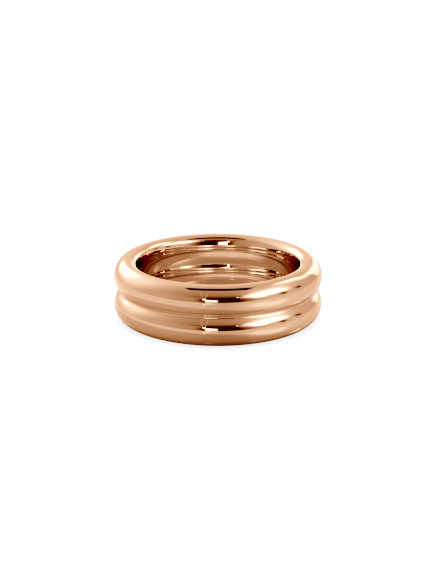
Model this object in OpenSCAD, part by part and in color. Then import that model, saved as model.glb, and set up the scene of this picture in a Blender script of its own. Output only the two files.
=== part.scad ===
// Double ring: two equal rounded bands, fused side by side along their whole length into one
// piece of metal. It lies on its side: the ring's axis is +Z, and the lower band's crest
// touches z = 0 all the way round. The origin is the centre of that circle.

/* [Ring] */
// Diameter of the finger hole, across the tops of the inner domes
bore_d = 17.3; // [14:0.1:23]
// Thickness of the metal, from an inner dome to the outermost line of its band
wall = 2.56; // [2.3:0.02:2.7]
// Distance between the middles of the two bands, along the ring's axis
band_pitch = 3.08; // [2.9:0.02:3.3]

/* [Outer side of a band] */
// Width of one band, along the ring's axis
band_w = 3.46; // [3.4:0.02:3.6]
// Distance from the crest that the ring rests on to the outermost line of the band
crest_depth = 1.44; // [1.4:0.02:1.6]
// Radius of the rounding over the crest
crest_r = 1.3; // [1.15:0.05:1.35]
// Radius of the rounding at the bottom of the groove between the bands
groove_r = 0.2; // [0.1:0.02:0.3]

/* [Inner side of a band] */
// Radius of the shallow dome that lies against the finger
dome_r = 4.55; // [3.5:0.05:8]
// Distance between the tops of the two domes, along the ring's axis
dome_pitch = 3.04; // [2.9:0.02:3.2]

/* [Hidden] */
$fn = 240;

// Height of the whole ring as it lies
ring_h = band_pitch + band_w;
// Radius of the outermost line, and of the circle that the ring rests on
ring_r = bore_d / 2 + wall;
crest_ring_r = ring_r - crest_depth;
// Inner side of the metal that joins the bands, before the domes cut it back: half way between
// the bore and the ovals' innermost line
joint_r = (bore_d / 2 + crest_ring_r - crest_depth) / 2;
// Radius of the flank arc that runs smoothly into both crest roundings
tip_z = band_w / 2 - crest_r;
flank_r = (pow(crest_depth, 2) + pow(tip_z, 2) - pow(crest_r, 2)) / (2 * (crest_depth - crest_r));
flank_shift = flank_r - crest_depth;
// Half the height of the flank arc: it ends on the line through both arcs' centres
flank_z = tip_z * flank_r / (flank_r - crest_r);
// The groove's rounding touches the two crest roundings beside it: how far out from the bands'
// middles its centre and its ends lie, and half the distance between its ends
inner_tip_z = band_pitch / 2 - tip_z;
groove_x = sqrt(pow(crest_r + groove_r, 2) - pow(inner_tip_z, 2));
groove_end_x = groove_x * crest_r / (crest_r + groove_r);
groove_end_z = inner_tip_z * groove_r / (crest_r + groove_r);

// Oval of four arcs about the origin: two crest roundings, above and below, and two flanks
module band_oval() {
    for (side = [-1, 1])
        translate([0, side * tip_z])
            circle(r = crest_r);
    intersection() {
        translate([-flank_shift, 0])
            circle(r = flank_r);
        translate([flank_shift, 0])
            circle(r = flank_r);
        square([2 * crest_depth, 2 * flank_z], center = true);
    }
}

// Metal that fills the bottom of the groove, up to its rounding
module groove_bottom() {
    difference() {
        translate([0, -groove_end_z])
            square([groove_end_x, 2 * groove_end_z]);
        translate([groove_x, 0])
            circle(r = groove_r);
    }
}

// Section of the ring, with x as the distance from the ring's axis: outside the two ovals, with
// a rounded groove between them, and inside the two shallow domes that cut them back. The
// square is the metal that joins the bands inside the groove.
module ring_section() {
    intersection() {
        union() {
            for (side = [-1, 1])
                translate([crest_ring_r, side * band_pitch / 2])
                    band_oval();
            translate([joint_r, -band_pitch / 2])
                square([crest_ring_r - joint_r, band_pitch]);
            translate([crest_ring_r, 0])
                groove_bottom();
        }
        for (side = [-1, 1])
            translate([bore_d / 2 + dome_r, side * dome_pitch / 2])
                circle(r = dome_r);
    }
}

// The whole ring: the section turned about the axis as one solid
module double_band() {
    color([0.85, 0.62, 0.47])
        translate([0, 0, ring_h / 2])
            rotate_extrude()
                ring_section();
}

double_band();
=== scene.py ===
"""Double ring: two rounded bands of polished rose gold, fused side by side, lying on their side."""
import math
from collections import namedtuple

import bpy
import numpy as np
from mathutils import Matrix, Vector


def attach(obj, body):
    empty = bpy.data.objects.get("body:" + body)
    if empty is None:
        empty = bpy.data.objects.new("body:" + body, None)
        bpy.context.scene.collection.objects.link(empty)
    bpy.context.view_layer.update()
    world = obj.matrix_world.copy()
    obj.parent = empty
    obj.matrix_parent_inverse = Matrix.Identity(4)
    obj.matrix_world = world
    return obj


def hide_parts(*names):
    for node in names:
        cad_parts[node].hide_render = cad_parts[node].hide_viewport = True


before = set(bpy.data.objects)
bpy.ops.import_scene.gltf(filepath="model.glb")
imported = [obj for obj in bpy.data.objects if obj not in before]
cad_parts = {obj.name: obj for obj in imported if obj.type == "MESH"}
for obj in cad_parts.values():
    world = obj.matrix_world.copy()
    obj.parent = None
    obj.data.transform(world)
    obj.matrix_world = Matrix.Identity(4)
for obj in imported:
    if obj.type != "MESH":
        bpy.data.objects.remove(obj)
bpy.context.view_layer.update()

MM = 0.001

# The ring, in millimetres. Its axis is +Z, and the lower band's crest rests on z = 0.
RING_R = 11.21
RING_H = 6.54
BAND_PITCH = 3.08
CREST_DEPTH = 1.44
BAND_HALF_W = 1.73
CREST_RING_R = RING_R - CREST_DEPTH
BORE_R = 8.65
DOME_R = 4.55
DOME_PITCH = 3.04

# How widely shapes of the section blend where they meet: a dome and a band's top, the two bands
# in the groove, and the two domes in the crease inside
RIM_ROUNDING = 0.12
GROOVE_ROUNDING = 0.70
CREASE_ROUNDING = 0.05

# The ring's mesh: its points around and across, the directions in which the section is measured,
# how much the section's bends count, against its length, when points are spread over it, and the
# least that is divided by
STEPS_AROUND = 400
STEPS_ACROSS = 240
SECTION_AIMS = 40000
BEND_WEIGHT = 0.8
TINY = 1e-9

# Rose gold as a mirror: its colour, how bright each further image in the ring is against the one
# before, for how many further images, and the most light that a first image holds
ROSE_GOLD = (0.93, 0.48, 0.31)
NEXT_IMAGE = 0.58
FURTHER_IMAGES = 3
FIRST_IMAGE_TOP = 3.1

# The polish: two tones that the colour varies between, the tint at grazing angles, the roughness
# and what the haze and the marks add to it, the marks' depth in metres, and the patterns' scales
# per metre
DEEP_TONE = (0.925, 0.472, 0.303, 1)
PALE_TONE = (0.935, 0.488, 0.317, 1)
GRAZING_TINT = (0.98, 0.77, 0.65, 1)
ROUGHNESS = 0.012
HAZE_ROUGHNESS = 0.012
MARK_ROUGHNESS = 0.008
MARK_DEPTH = 1e-8
MARKS_ACROSS = 20000
MARKS_ALONG = 160
HAZE_SCALE = 260.0
TONE_SCALE = 90.0

# The photograph's frame and camera: angle above the floor, distance, and height of the aim
CAMERA_ANGLE = 17.47
CAMERA_DISTANCE = 186.4
CAMERA_AIM = 2.895
CAMERA_LENS = 106.45
CAMERA_SENSOR = 36
CAMERA_CLIP = (0.01, 20)


def distance_to_oval(aim, centre, half):
    """How far it is from the origin, inside an oval, to its edge along each aim.

    A point t * aim is on the edge where the squares of its offsets from the centre, each over
    that way's half size, add up to 1. That is a quadratic in t, and this is its larger root.
    """
    a = ((aim / half) ** 2).sum(-1)
    b = (aim * centre / half**2).sum(-1)
    c = ((centre / half) ** 2).sum() - 1
    return (b + np.sqrt(b * b - a * c)) / a


def soft_min(p, q, rounding):
    """The smaller of p and q, blended by a parabola where they differ by less than rounding."""
    share = np.clip(0.5 + 0.5 * (q - p) / rounding, 0, 1)
    return q + (p - q) * share - rounding * share * (1 - share)


def soft_max(p, q, rounding):
    """The larger of p and q, blended in the same way."""
    return -soft_min(-p, -q, rounding)


def ring_section(steps):
    """The outline of both bands, as distances from the axis and heights, in millimetres.

    It is seen from the point between the bands, on the circle that carries their middles. The
    outer sides reach to the farther of the two ovals. Inside, the metal between the bands' middles
    is solid up to the farther of the two domes, which also cuts the ovals back. The points are
    spread evenly over a measure that adds the outline's share of its length to BEND_WEIGHT times
    its share of all turning, so that the tight bends get enough of them.
    """
    angle = np.linspace(0, 2 * np.pi, SECTION_AIMS, endpoint=False)
    aim = np.stack([np.cos(angle), np.sin(angle)], -1)
    ovals, domes = [], []
    for side in (-1, 1):
        middle = np.array([0, side * BAND_PITCH / 2])
        ovals.append(distance_to_oval(aim, middle, np.array([CREST_DEPTH, BAND_HALF_W])))
        middle = np.array([BORE_R + DOME_R - CREST_RING_R, side * DOME_PITCH / 2])
        domes.append(distance_to_oval(aim, middle, np.array([DOME_R, DOME_R])))
    away = np.maximum(np.abs(aim), TINY)
    joint = np.minimum(CREST_DEPTH / away[:, 0], BAND_PITCH / 2 / away[:, 1])
    joint = np.where(aim[:, 0] < 0, joint, 0)
    bands = np.maximum(soft_max(*ovals, GROOVE_ROUNDING), joint)
    reach = soft_min(bands, soft_max(*domes, CREASE_ROUNDING), RIM_ROUNDING)
    outline = reach[:, None] * aim
    step = np.roll(outline, -1, 0) - outline
    length = np.hypot(step[:, 0], step[:, 1])
    heading = np.arctan2(step[:, 1], step[:, 0])
    turn = np.abs((np.roll(heading, -1) - heading + np.pi) % (2 * np.pi) - np.pi)
    measure = length / length.sum() + BEND_WEIGHT * turn / turn.sum()
    along = np.concatenate([[0], np.cumsum(measure)])
    closed = np.vstack([outline, outline[:1]])
    wanted = np.linspace(0, along[-1], steps, endpoint=False)
    r = np.interp(wanted, along, closed[:, 0]) + CREST_RING_R
    z = np.interp(wanted, along, closed[:, 1]) + RING_H / 2
    return r, z


def closed_surface(name, points):
    """A mesh over a grid of points that closes both ways, with faces between neighbours."""
    rows, columns, _ = points.shape
    i, j = np.meshgrid(np.arange(rows), np.arange(columns), indexing="ij")
    corner = [(i, j), (i + 1, j), (i + 1, j + 1), (i, j + 1)]
    quads = np.stack([(a % rows) * columns + b % columns for a, b in corner], -1).reshape(-1, 4)
    mesh = bpy.data.meshes.new(name)
    mesh.vertices.add(rows * columns)
    mesh.vertices.foreach_set("co", points.astype(np.float32).ravel())
    mesh.loops.add(quads.size)
    mesh.loops.foreach_set("vertex_index", quads.astype(np.int32).ravel())
    mesh.polygons.add(len(quads))
    mesh.polygons.foreach_set("loop_start", np.arange(0, quads.size, 4, dtype=np.int32))
    mesh.polygons.foreach_set("use_smooth", np.ones(len(quads), bool))
    mesh.update(calc_edges=True)
    mesh.validate()
    piece = bpy.data.objects.new(name, mesh)
    bpy.context.scene.collection.objects.link(piece)
    return piece


def double_ring():
    """The ring's surface: the section's point (r, z) turned by an angle is (r cos, r sin, z)."""
    r, z = ring_section(STEPS_ACROSS)
    angle = np.linspace(0, 2 * np.pi, STEPS_AROUND, endpoint=False)[:, None]
    flat = np.ones_like(angle)
    points = np.stack([np.cos(angle) * r, np.sin(angle) * r, flat * z], -1) * MM
    return closed_surface("double_ring", points)


class Wire:
    """A node's output that Python's operators work on: an expression on wires adds Math nodes."""

    def __init__(self, tree, socket=None):
        self.tree = tree
        self.socket = socket

    def node(self, kind, settings=None, inputs=None, output=0):
        """A new node: its settings are set first, and then its sockets get values or links."""
        made = self.tree.nodes.new(kind)
        for name, value in (settings or {}).items():
            if name == "stops":
                ramp = made.color_ramp.elements
                ramp[0].position, ramp[1].position = value[0][0], value[-1][0]
                for place, _ in value[1:-1]:
                    ramp.new(place)
                for stop, (_, grey) in zip(ramp, value):
                    stop.color = (grey, grey, grey, 1)
            else:
                setattr(made, name, value)
        for name, value in (inputs or {}).items():
            if isinstance(value, Wire):
                self.tree.links.new(value.socket, made.inputs[name])
            else:
                made.inputs[name].default_value = value
        return Wire(self.tree, made.outputs[output] if made.outputs else None)

    def math(self, operation, *values):
        """A Math node with these values on its inputs."""
        return self.node("ShaderNodeMath", {"operation": operation}, dict(enumerate(values)))

    def __add__(self, other):
        return self.math("ADD", self, other)

    def __sub__(self, other):
        return self.math("SUBTRACT", self, other)

    def __rsub__(self, other):
        return self.math("SUBTRACT", other, self)

    def __mul__(self, other):
        return self.math("MULTIPLY", self, other)

    def __truediv__(self, other):
        return self.math("DIVIDE", self, other)

    def __rtruediv__(self, other):
        return self.math("DIVIDE", other, self)

    def __pow__(self, other):
        return self.math("POWER", self, other)

    def __rpow__(self, other):
        return self.math("POWER", other, self)

    __radd__ = __add__
    __rmul__ = __mul__

    def at_least(self, low):
        return self.math("MAXIMUM", self, low)

    def at_most(self, high):
        return self.math("MINIMUM", self, high)

    def above(self, level):
        """1 where the value is greater than level, and 0 elsewhere."""
        return self.math("GREATER_THAN", self, level)

    def below(self, level):
        """1 where the value is less than level, and 0 elsewhere."""
        return self.math("LESS_THAN", self, level)

    def fade(self, start, end):
        """0 before start, 1 after end, and a smooth step between them."""
        return self.node(
            "ShaderNodeMapRange",
            {"interpolation_type": "SMOOTHSTEP"},
            {"Value": self, "From Min": start, "From Max": end},
        )

    def blend(self, low, high):
        """Low where the value is 0, high where it is 1, and in proportion between."""
        return low + (high - low) * self

    def dot(self, direction):
        """How far a vector goes along a fixed direction."""
        settings = {"operation": "DOT_PRODUCT"}
        return self.node("ShaderNodeVectorMath", settings, {0: self, 1: direction}, "Value")

    def parts(self):
        """A vector's x, y and z."""
        split = self.node("ShaderNodeSeparateXYZ", inputs={0: self})
        return [Wire(self.tree, part) for part in split.socket.node.outputs]

    def ramp(self, stops):
        """A grey value that goes straight from stop to stop, each a (place, value) from 0 to 1."""
        return self.node("ShaderNodeValToRGB", {"stops": stops}, {"Fac": self})


def empty_nodes(owner):
    """A start for the nodes of a material or of the studio, without the default ones."""
    owner.use_nodes = True
    owner.node_tree.nodes.clear()
    return Wire(owner.node_tree)


# What the ring mirrors. Azimuth 0 is towards the camera and 90 to its right, in degrees. A card is
# a lit or dark panel with its corners at (azimuth, elevation), in order, and an edge that is soft
# over some degrees. A glow fades from its middle out, and its roll dips its right end. Each covers
# the ones before it.
Card = namedtuple("Card", "corners softness brightness")
Glow = namedtuple("Glow", "azimuth elevation half_width half_height roll brightness")

LIGHTS = {
    "front_shade": Glow(-6, 40, 36, 30, -8, 0.26),
    "low_shade": Glow(-25, 0, 20, 7, 0, 0.29),
    "back_fill": Glow(-180, 16, 15, 21, 0, 0.72),
    "left_glow": Glow(-130, 28, 21, 20, 0, 1.35),
    "left_card": Card(
        [(-165, 11.5), (-128, 11), (-124, 20), (-131, 37), (-150, 38), (-164, 25)], 7, 2.2
    ),
    "left_core": Glow(-152, 20, 7, 8, -20, 4.5),
    "right_fill": Glow(72, 6, 24, 14, 0, 0.54),
    "right_halo": Glow(74, 42, 16, 12, 0, 0.85),
    "panel_side": Glow(21, 6, 13, 9, 0, 0.06),
    "right_softbox": Card(
        [(25, 28), (37, 15), (58, 15), (90, 20), (90, 47), (60, 50), (39, 41)], 11, 1.3
    ),
    "right_core": Card(
        [(35, 27), (43, 18.5), (83, 19), (83, 37), (74, 41), (60, 41), (46, 36)], 6, 4.0
    ),
    "right_low": Card([(38, 18), (42, 13.5), (54, 13.5), (56, 18), (46, 22)], 3, 3.0),
    "brow": Card([(-24, 26), (30, 26), (27, 35), (-18, 36)], 9, 0.17),
    "brow_end": Glow(-24, 28, 6, 3, 0, 0.17),
    "dark_panel": Card([(-18, -25), (26, -25), (25, 14), (20.5, 28), (-17, 28)], 5, 0.06),
    "panel_end": Glow(-18, 9, 4, 7, 0, 0.1),
    "window": Card([(-13.2, 1.8), (-0.4, 1.8), (-0.4, 11), (-13.2, 13)], 1.2, 2.4),
    "window_end": Card([(-13.2, 1.8), (-8, 1.8), (-8, 12), (-13.2, 13)], 1.2, 5.0),
    "left_ray": Card([(-17.2, 22), (-16, 22), (-31, 66), (-35, 66)], 1, 0.36),
    "right_ray": Card([(-14.3, 22), (-13.2, 22), (-15, 60), (-17.5, 60)], 1, 0.39),
    "strip": Card([(-16.1, 12), (-14, 12), (-14, 19), (-16.1, 19)], 1.2, 10),
    "streak": Card([(21.4, 24.5), (22.4, 24.5), (22.4, 28), (21.4, 28)], 1, 3.6),
    "clamp_near": Glow(75.6, 9.8, 4.0, 3.2, 50, 0.02),
    "clamp_far": Glow(99.3, 12, 4.2, 2.8, 50, 0.02),
    "back_wing": Card([(96, 44), (126, 34), (128, 55), (98, 58)], 12, 0.86),
    "back_band": Card([(119, 34), (128, 24), (142, 18), (143, 32), (136, 40)], 7, 1.5),
    "back_softbox": Card(
        [(122, 41), (133, 36), (142, 37), (146, 44), (137, 54), (122, 57)], 6, 1.9
    ),
    "back_core": Card([(129, 42), (134, 38.5), (141, 40), (140, 46), (136, 49), (129, 49)], 3, 11),
    "back_reflector": Card(
        [(143, -5), (137, 10), (136, 22), (141, 31), (150, 28), (162, 17), (174, -5)], 8, 1.8
    ),
    "back_low": Glow(172, 2, 7, 5, 0, 1.7),
    "back_ridge": Glow(153.5, 11.5, 9, 3, 46, 2.9),
    "overhead_flag": Card([(63, 68), (117, 68), (243, 70), (297, 68)], 2, 0.03),
}

# Brightness of the tent by height above the horizon, as (share of a right angle, brightness)
TENT = [(0, 0.45), (0.17, 0.45), (0.33, 0.46), (0.56, 0.48), (0.83, 0.46), (1, 0.3)]

# Brightness of the white behind the ring, as the camera sees it
BACKDROP = 1.2

# The least cosine of a direction's angle to a glow's middle at which the glow still shows
GLOW_REACH = 0.05

# The ray depth that the renderer gives to the ring's first mirror image, of the studio and of the
# table
STUDIO_DEPTH = 2
TABLE_DEPTH = 1


def toward(azimuth, elevation):
    """The direction of a place in the studio, as seen from the ring."""
    around, up = math.radians(azimuth), math.radians(elevation)
    return Vector((math.sin(around) * math.cos(up), -math.cos(around) * math.cos(up), math.sin(up)))


def card_mask(view, card):
    """How much of a card is seen along view: it has to be on the inner side of every edge."""
    corners = [toward(*corner) for corner in card.corners]
    middle = sum(corners, Vector())
    soft = math.radians(card.softness) / 2
    mask = 1
    for corner, following in zip(corners, corners[1:] + corners[:1]):
        inward = corner.cross(following).normalized()
        inward *= math.copysign(1, inward.dot(middle))
        mask = view.dot(inward).fade(-soft, soft) * mask
    return mask


def glow_mask(view, glow):
    """How much of a glow is seen along view.

    It is e^(-(a^2 + b^2) / 2), where a and b are how far off its middle the direction goes across
    and up, on a flat sheet in front of it, over half its width and half its height.
    """
    middle = toward(glow.azimuth, glow.elevation)
    level = toward(glow.azimuth + 90, 0)
    upright = middle.cross(level)
    roll = math.radians(glow.roll)
    side = level * math.cos(roll) - upright * math.sin(roll)
    height = upright * math.cos(roll) + level * math.sin(roll)
    ahead = view.dot(middle)
    depth = ahead.at_least(GLOW_REACH)
    across = view.dot(side) / depth / math.tan(math.radians(glow.half_width))
    over = view.dot(height) / depth / math.tan(math.radians(glow.half_height))
    return math.e ** ((across * across + over * over) * -0.5) * ahead.above(GLOW_REACH)


def mirrored(light, further):
    """The colour that grey light gets where the ring mirrors it.

    Further is 0 in the ring's first image of it, 1 in an image of that image, and so on. The metal
    keeps its own share of each colour, c, at every image. Here the colour is multiplied by
    (NEXT_IMAGE / c) ^ further, up to FURTHER_IMAGES, so that each of those images is NEXT_IMAGE as
    bright as the last in every colour, and deep reflections keep the metal's hue.
    """
    extra = further.at_least(0).at_most(FURTHER_IMAGES)
    shares = {n: light * (NEXT_IMAGE / c) ** extra for n, c in enumerate(ROSE_GOLD)}
    return light.node("ShaderNodeCombineColor", inputs=shares)


def studio():
    """The light tent that the ring mirrors, as brightness by direction, with a white backdrop.

    The ring's first image of it is no brighter than FIRST_IMAGE_TOP, which is about what the
    picture's white holds. The images further in get all its light.
    """
    world = bpy.data.worlds.new("studio")
    start = empty_nodes(world)
    view = start.node("ShaderNodeTexCoord", output="Generated")
    rise = view.parts()[2].at_least(0).at_most(1)
    light = (rise.math("ARCSINE", rise) / (math.pi / 2)).ramp(TENT)
    for spec in LIGHTS.values():
        mask = card_mask(view, spec) if isinstance(spec, Card) else glow_mask(view, spec)
        light = mask.blend(light, spec.brightness)
    depth = start.node("ShaderNodeLightPath", output="Ray Depth")
    light = depth.below(STUDIO_DEPTH + 0.5).blend(light, light.at_most(FIRST_IMAGE_TOP))
    colour = mirrored(light, depth - STUDIO_DEPTH)
    tent = start.node("ShaderNodeBackground", inputs={"Color": colour})
    white = {"Color": (1, 1, 1, 1), "Strength": BACKDROP}
    backdrop = start.node("ShaderNodeBackground", inputs=white)
    seen = start.node("ShaderNodeLightPath", output="Is Camera Ray")
    both = start.node("ShaderNodeMixShader", inputs={0: seen, 1: tent, 2: backdrop})
    both.node("ShaderNodeOutputWorld", inputs={"Surface": both})
    world.cycles.sampling_method = "NONE"
    bpy.context.scene.world = world


def rose_gold():
    """Polished rose gold, with fine polishing marks that run round the ring and a faint haze.

    The marks are a noise that changes quickly with a place's distance from the axis and its
    height, and slowly along the ring.
    """
    material = bpy.data.materials.new("polished_rose_gold")
    start = empty_nodes(material)
    place = start.node("ShaderNodeTexCoord", output="Object")
    x, y, z = place.parts()
    from_axis = (x * x + y * y) ** 0.5
    marks_place = start.node(
        "ShaderNodeCombineXYZ",
        inputs={0: from_axis * MARKS_ACROSS, 1: x * MARKS_ALONG, 2: y * MARKS_ALONG},
    )
    marks = start.node(
        "ShaderNodeTexNoise",
        {"noise_dimensions": "4D"},
        {"Vector": marks_place, "W": z * MARKS_ACROSS, "Scale": 1.0, "Detail": 1.0},
    )
    haze = start.node(
        "ShaderNodeTexNoise", inputs={"Vector": place, "Scale": HAZE_SCALE, "Detail": 3.0}
    )
    tone = start.node(
        "ShaderNodeTexNoise", inputs={"Vector": place, "Scale": TONE_SCALE, "Detail": 2.0}
    )
    # The Mix node has its two colours on inputs 6 and 7, and their mixture on output 2
    colour = start.node(
        "ShaderNodeMix", {"data_type": "RGBA"}, {"Factor": tone, 6: DEEP_TONE, 7: PALE_TONE}, 2
    )
    bump = start.node("ShaderNodeBump", inputs={"Distance": MARK_DEPTH, "Height": marks})
    metal = start.node(
        "ShaderNodeBsdfPrincipled",
        inputs={
            "Base Color": colour,
            "Metallic": 1.0,
            "Roughness": ROUGHNESS + haze * HAZE_ROUGHNESS + marks * MARK_ROUGHNESS,
            "Specular Tint": GRAZING_TINT,
            "Normal": bump,
        },
    )
    metal.node("ShaderNodeOutputMaterial", inputs={"Surface": metal})
    return material


# Half the table's side, in metres
TABLE_HALF = 3.0

# The table as the ring mirrors it, over distances in millimetres. Its emission colour is painted
# light and shade. Far out its light is TABLE_LIT, and it sinks to nothing where the ring touches
# the table, a painted contact shade over CONTACT_REACH outside the ring and CREASE_REACH inside it.
# A painted shadow of the ring
# lies on it, as if from a main light: a disc round a middle that is shifted away from that light,
# with a painted brighter patch where that light would come through the hole. A painted shade of the
# dark panel in front lies over a narrow sector. Over TABLE_END the table fades into the tent.
TABLE_LIT = 0.60
TABLE_SHINE = 0.10
SHINE_ROUGHNESS = 0.03
TABLE_END = (35, 180)
CONTACT_REACH = 1.6
CREASE_REACH = 0.8
SHADOW_AZIMUTH = -45
SHADOW_SHIFT = 4.8
SHADOW_EDGE = (11.6, 13.8)
SHADOW_DEPTH = 0.36
HOLE_LIT = 0.60
HOLE_SHADOW = 0.25
HOLE_PATCH = (4.0, 8.9)
PANEL_AZIMUTH = 4
PANEL_SHADE_DEPTH = 0.26
PANEL_NARROWNESS = 19

# The table's white as the camera sees it, with painted shade: a painted contact shade under the
# overhang and white clear of the ring, and painted shade in the hole's corner that lightens towards
# its middle, with the distances from the axis between which it changes
OVERHANG_PAINTED_SHADE = 0.70
CLEAR_WHITE = 1.04
OVERHANG_EDGE = (CREST_RING_R + 0.6, RING_R + 0.2)
CORNER_PAINTED_SHADE = 0.68
MIDDLE_WHITE = 0.93
CORNER_EDGE = (CREST_RING_R - 0.3, 4.0)


def painted_table_light(x, y, r):
    """The light and shade painted into the table's emission colour, as the ring mirrors it.

    It is a formula on a place's distance r from the ring's axis, its distance s from the shadow's
    middle, and its angle a from the panel's azimuth. Outside the ring it is TABLE_LIT times
    1 - e^(-(r - CREST_RING_R) / CONTACT_REACH), less SHADOW_DEPTH of it where s is within the
    shadow's edge, and less PANEL_SHADE_DEPTH * e^((cos(a) - 1) * PANEL_NARROWNESS) of it before the
    dark panel. Inside the hole it goes from HOLE_LIT to HOLE_SHADOW as s grows, times
    1 - e^(-(CREST_RING_R - r) / CREASE_REACH).
    """
    middle = toward(SHADOW_AZIMUTH, 0) * SHADOW_SHIFT
    off_x, off_y = x - middle.x, y - middle.y
    s = (off_x * off_x + off_y * off_y) ** 0.5
    # A painted shade of the dark panel over a narrow sector of the table
    ahead = toward(PANEL_AZIMUTH, 0)
    painted_panel_shade = math.e ** (((x * ahead.x + y * ahead.y) / r - 1) * PANEL_NARROWNESS)
    # Painted contact shade, darkest where the ring touches the table
    painted_contact_shade = 1 - math.e ** ((r - CREST_RING_R).at_least(0) / -CONTACT_REACH)
    outside = painted_contact_shade * (1 - painted_panel_shade * PANEL_SHADE_DEPTH) * TABLE_LIT
    # A painted shadow of the ring: a disc round the shifted middle
    outside = outside * (1 - (1 - s.fade(*SHADOW_EDGE)) * SHADOW_DEPTH)
    # In the hole: a painted lit patch that fades to painted shadow, darkest in the crease at the
    # wall
    painted_crease_shade = 1 - math.e ** ((CREST_RING_R - r).at_least(0) / -CREASE_REACH)
    inside = s.fade(*HOLE_PATCH).blend(HOLE_LIT, HOLE_SHADOW) * painted_crease_shade
    return r.above(CREST_RING_R).blend(inside, outside)


def table_white_with_painted_shade(r):
    """How white the camera sees the table, with painted shade: a smooth step over r, the distance
    from the ring's axis.

    One step goes from the painted contact shade under the overhang to white clear of the ring, and
    one from the painted shade in the hole's corner to its middle.
    """
    # Painted contact shade under the overhang, going to white clear of the ring
    clear = r.fade(*OVERHANG_EDGE).blend(OVERHANG_PAINTED_SHADE, CLEAR_WHITE)
    # Painted shade in the hole's corner, lighter towards its middle
    hole = r.fade(*CORNER_EDGE).blend(CORNER_PAINTED_SHADE, MIDDLE_WHITE)
    return r.above(CREST_RING_R).blend(hole, clear)


def table_with_painted_light():
    """The table's material, with painted light and shade: one look for the camera, and one for the
    ring, with a faint shine.
    """
    material = bpy.data.materials.new("table_with_painted_light")
    start = empty_nodes(material)
    place = start.node("ShaderNodeTexCoord", output="Object")
    x, y = (part / MM for part in place.parts()[:2])
    r = (x * x + y * y) ** 0.5
    depth = start.node("ShaderNodeLightPath", output="Ray Depth")
    # The painted light and shade on the table that the ring mirrors, given out as emission
    colour = mirrored(painted_table_light(x, y, r), depth - TABLE_DEPTH)
    lit = start.node("ShaderNodeEmission", inputs={"Color": colour})
    shine_colour = tuple(TABLE_SHINE * c / NEXT_IMAGE for c in ROSE_GOLD) + (1,)
    shine = start.node(
        "ShaderNodeBsdfGlossy", inputs={"Color": shine_colour, "Roughness": SHINE_ROUGHNESS}
    )
    near = start.node("ShaderNodeAddShader", inputs={0: lit, 1: shine})
    beyond = start.node("ShaderNodeBsdfTransparent")
    whole = start.node("ShaderNodeMixShader", inputs={0: r.fade(*TABLE_END), 1: near, 2: beyond})
    # The camera's view of the table, with its painted shade, as emission
    white = table_white_with_painted_shade(r)
    grey = start.node("ShaderNodeCombineColor", inputs={0: white, 1: white, 2: white})
    seen_with_painted_shade = start.node("ShaderNodeEmission", inputs={"Color": grey})
    seen = start.node("ShaderNodeLightPath", output="Is Camera Ray")
    both = start.node("ShaderNodeMixShader", inputs={0: seen, 1: whole, 2: seen_with_painted_shade})
    both.node("ShaderNodeOutputMaterial", inputs={"Surface": both})
    material.cycles.emission_sampling = "NONE"
    return material


def table_top():
    """The white table, a flat square with its middle under the ring."""
    mesh = bpy.data.meshes.new("table")
    half = TABLE_HALF
    mesh.from_pydata(
        [(-half, -half, 0), (half, -half, 0), (half, half, 0), (-half, half, 0)], [], [(0, 1, 2, 3)]
    )
    mesh.materials.append(table_with_painted_light())
    table = bpy.data.objects.new("table", mesh)
    bpy.context.scene.collection.objects.link(table)
    table.visible_diffuse = False


def camera():
    """The camera, at the photograph's angle above the table, aimed at the ring's middle."""
    data = bpy.data.cameras.new("camera")
    data.lens = CAMERA_LENS
    data.sensor_width = CAMERA_SENSOR
    data.clip_start, data.clip_end = CAMERA_CLIP
    eye = bpy.data.objects.new("camera", data)
    bpy.context.scene.collection.objects.link(eye)
    up = math.radians(CAMERA_ANGLE)
    back = Vector((0, -math.cos(up), math.sin(up)))
    eye.location = Vector((0, 0, CAMERA_AIM * MM)) + back * CAMERA_DISTANCE * MM
    eye.rotation_mode = "QUATERNION"
    eye.rotation_quaternion = (-back).to_track_quat("-Z", "Y")
    bpy.context.scene.camera = eye


# How the picture turns light into tone: (light, tone), before the display's own curve
TONES = [(0.037, 0), (0.056, 0.013), (0.085, 0.063), (0.104, 0.107), (0.139, 0.188),
         (0.188, 0.287), (0.284, 0.451), (0.40, 0.604), (0.61, 0.791), (1, 1)]

# How many mirror images deep light is followed between the bands
IMAGES_FOLLOWED = 16


def picture():
    """The picture's tones and how far light is followed between the bands."""
    scene = bpy.context.scene
    scene.view_settings.view_transform = "Standard"
    scene.view_settings.use_curve_mapping = True
    curves = scene.view_settings.curve_mapping
    # The last of the four curves is the one for all colours together
    combined = curves.curves[3]
    combined.points[0].location = TONES[0]
    combined.points[1].location = TONES[-1]
    for place in TONES[1:-1]:
        combined.points.new(*place)
    curves.update()
    scene.cycles.max_bounces = IMAGES_FOLLOWED
    scene.cycles.glossy_bounces = IMAGES_FOLLOWED
    scene.cycles.use_denoising = True
    scene.cycles.caustics_reflective = False
    scene.cycles.caustics_refractive = False


camera()
ring = double_ring()
ring.data.materials.append(rose_gold())
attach(ring, "root")
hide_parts("double_band")
table_top()
studio()
picture()
